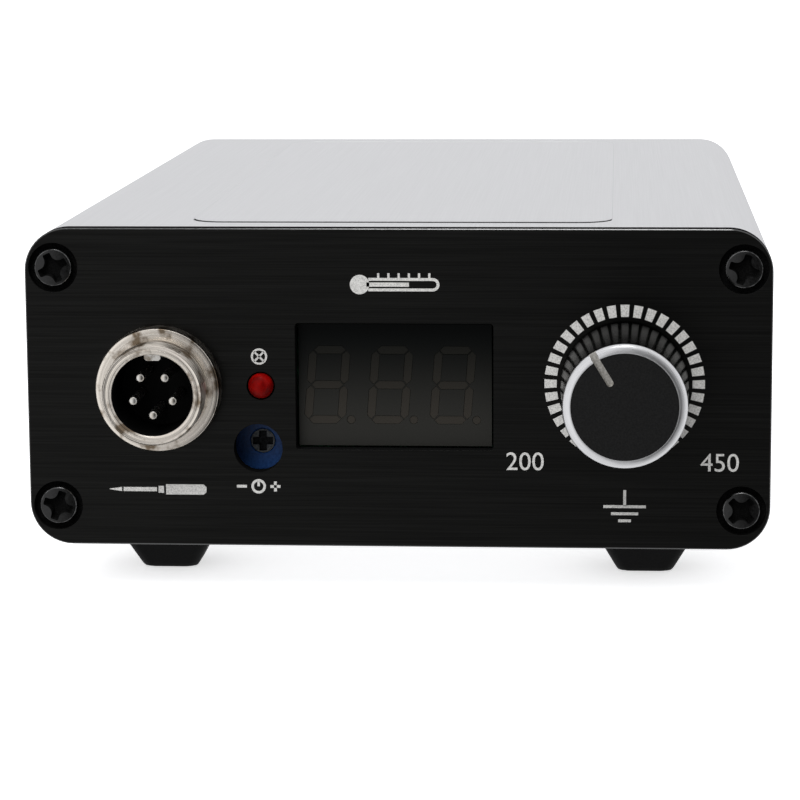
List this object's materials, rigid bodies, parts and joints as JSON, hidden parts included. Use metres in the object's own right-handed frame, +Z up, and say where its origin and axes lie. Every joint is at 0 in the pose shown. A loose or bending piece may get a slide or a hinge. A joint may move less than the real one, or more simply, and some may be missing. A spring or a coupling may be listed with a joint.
{
  "type": "soldering iron station",
  "caption": "Bench soldering iron power unit in an extruded aluminium case with an iron socket, unlit digit display, lamp, calibration trimmer and a knob.",
  "frame": {"origin": "on the surface that the feet stand on, under the middle of the whole object's box, knob and switch included", "axes": "+X to the right as seen from the front, +Y from the front panel to the rear, +Z up"},
  "size_m": [0.088, 0.1556, 0.044],
  "materials": {
    "silver_case": "satin anodised, fine lengthwise extrusion lines",
    "black_panel": "black anodised over brushed aluminium",
    "black_screw": "black oxide, slightly glossy",
    "foot_rubber": "matt black rubber",
    "nickel": "worn nickel plate",
    "contact_plate": "plated contact",
    "black_insulator": "moulded phenolic",
    "steel": "zinc-plated steel",
    "lamp_red": "tinted epoxy",
    "trimmer_blue": "moulded plastic",
    "rotor_grey": "moulded plastic",
    "display_black": "black face",
    "segment_smoke": "unlit diffusing resin",
    "die_cast": "zinc die casting",
    "pot_green": "moulded plastic",
    "knob_black": "black anodised, diamond-cut rim",
    "board_green": "solder resist on glass-epoxy board",
    "chip_black": "moulded epoxy",
    "header_white": "moulded nylon",
    "sheet_cream": "insulating film",
    "ferrite": "sintered ferrite, matt",
    "bobbin_brown": "moulded phenolic",
    "winding_tape": "polyester tape over copper",
    "copper": "enamelled copper wire",
    "capacitor_sleeve": "shrink sleeve on aluminium can",
    "capacitor_yellow": "moulded box",
    "fuse_glass": "glass tube with plated caps",
    "sink_aluminium": "plain extrusion",
    "mains_black": "moulded nylon, fine texture",
    "button_black": "moulded plastic",
    "lead_red": "silicone insulation",
    "lead_brown": "PVC insulation",
    "lead_green": "PVC insulation"
  },
  "bodies": {
    "station": {"top_shell": "silver_case", "bottom_shell": "silver_case", "front_panel": "black_panel", "rear_panel": "black_panel", "front_panel_screws": "black_screw", "rear_panel_screws": "black_screw", "feet": "foot_rubber", "socket_shell": "nickel", "socket_insulator": "black_insulator", "socket_pins": "contact_plate", "socket_washer": "steel", "socket_nut": "nickel", "earth_tag": "steel", "lamp": "lamp_red", "lamp_legs": "steel", "trimmer_body": "trimmer_blue", "trimmer_pins": "steel", "display_housing": "display_black", "display_segments": "segment_smoke", "display_pins": "steel", "pot_bush": "die_cast", "pot_body": "pot_green", "pot_terminals": "steel", "pot_washer": "steel", "pot_nut": "steel", "control_board": "board_green", "control_chips": "chip_black", "board_headers": "header_white", "power_board": "board_green", "insulating_sheet": "sheet_cream", "transformer_core": "ferrite", "transformer_bobbin": "bobbin_brown", "transformer_winding": "winding_tape", "bulk_capacitor": "capacitor_sleeve", "output_capacitors": "capacitor_sleeve", "choke_cores": "ferrite", "choke_windings": "copper", "suppression_capacitor": "capacitor_yellow", "fuse": "fuse_glass", "fuse_clips": "steel", "heat_sinks": "sink_aluminium", "power_transistors": "chip_black", "inlet_body": "mains_black", "inlet_blades": "contact_plate", "inlet_screws": "black_screw", "inlet_nuts": "steel", "rocker_frame": "mains_black", "rocker_terminals": "contact_plate", "iron_leads": "lead_red", "supply_leads": "lead_red", "mains_leads": "lead_brown", "earth_lead": "lead_green"},
    "knob": {"knob": "knob_black", "knob_grub_screw": "black_screw", "pot_shaft": "steel"},
    "trimmer_rotor": {"trimmer_rotor": "rotor_grey"},
    "rocker_button": {"rocker_button": "button_black"}
  },
  "joints": [
    {"name": "knob_turn", "type": "hinge", "parent": "station", "child": "knob", "pos_m": [0.0268, -0.06134, 0.02575], "axis": [0, -1, 0], "range_deg": [-171.5, 108.5]},
    {"name": "trimmer_turn", "type": "hinge", "parent": "station", "child": "trimmer_rotor", "pos_m": [-0.0165, -0.05634, 0.0178], "axis": [0, -1, 0], "range_deg": [-115, 115]},
    {"name": "rocker_press", "type": "hinge", "parent": "station", "child": "rocker_button", "pos_m": [0.0278, 0.07116, 0.025], "axis": [1, 0, 0], "range_deg": [0, 24]}
  ]
}
